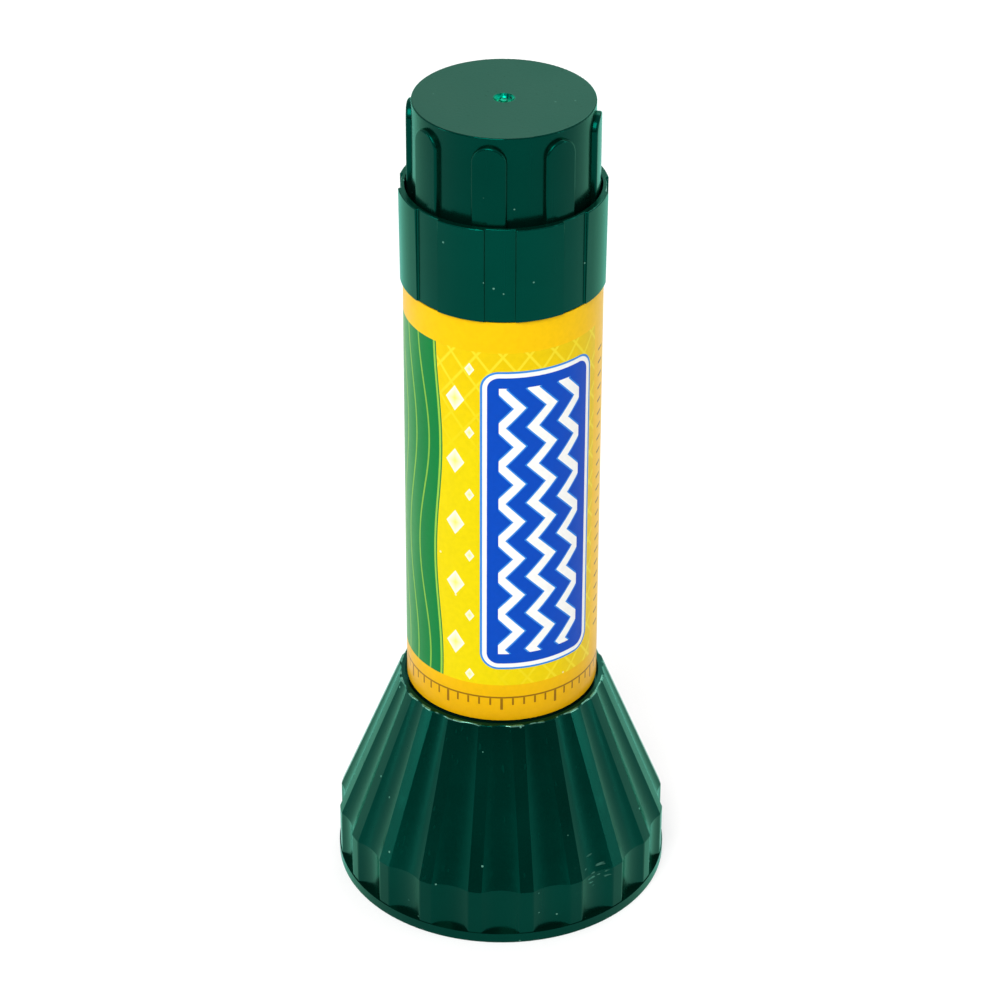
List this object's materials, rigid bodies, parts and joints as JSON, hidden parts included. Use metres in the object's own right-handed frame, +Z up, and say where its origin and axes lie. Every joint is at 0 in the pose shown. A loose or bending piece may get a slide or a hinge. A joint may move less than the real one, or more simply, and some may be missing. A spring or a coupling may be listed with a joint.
{
  "type": "glue stick",
  "caption": "Glue stick standing on its flared fluted cap: labelled barrel, ribbed twist knob, threaded spindle, carrier and glue.",
  "frame": {"origin": "centre of the cap's rim, on the surface that the stick stands on", "axes": "+Z up along the axis of the barrel towards the knob; -Y towards the front of the label"},
  "size_m": [0.0448, 0.0448, 0.1142],
  "materials": {
    "cap_plastic": "gloss",
    "barrel_plastic": "gloss",
    "label_film": "gloss",
    "knob_plastic": "gloss with a satin face",
    "spindle_plastic": "satin",
    "carrier_plastic": "satin",
    "glue_paste": "waxy"
  },
  "bodies": {
    "cap": {"cap": "cap_plastic"},
    "barrel": {"barrel": "barrel_plastic", "label": "label_film"},
    "knob": {"knob": "knob_plastic", "spindle": "spindle_plastic"},
    "carrier": {"carrier": "carrier_plastic", "glue": "glue_paste"}
  },
  "joints": [
    {"name": "barrel_lift", "type": "slide", "parent": "cap", "child": "barrel", "axis": [0, 0, 1], "range_m": [0, 0.04]},
    {"name": "knob_twist", "type": "hinge", "parent": "barrel", "child": "knob", "pos_m": [0, 0, 0.1], "axis": [0, 0, -1], "range_deg": [0, 4500]},
    {"name": "carrier_advance", "type": "slide", "parent": "barrel", "child": "carrier", "axis": [0, 0, -1], "range_m": [0, 0.0625], "deforming": ["glue"]}
  ],
  "couplings": [
    {"joint": "carrier_advance", "follows": "knob_twist", "m_per_rad": 0.00079577}
  ]
}
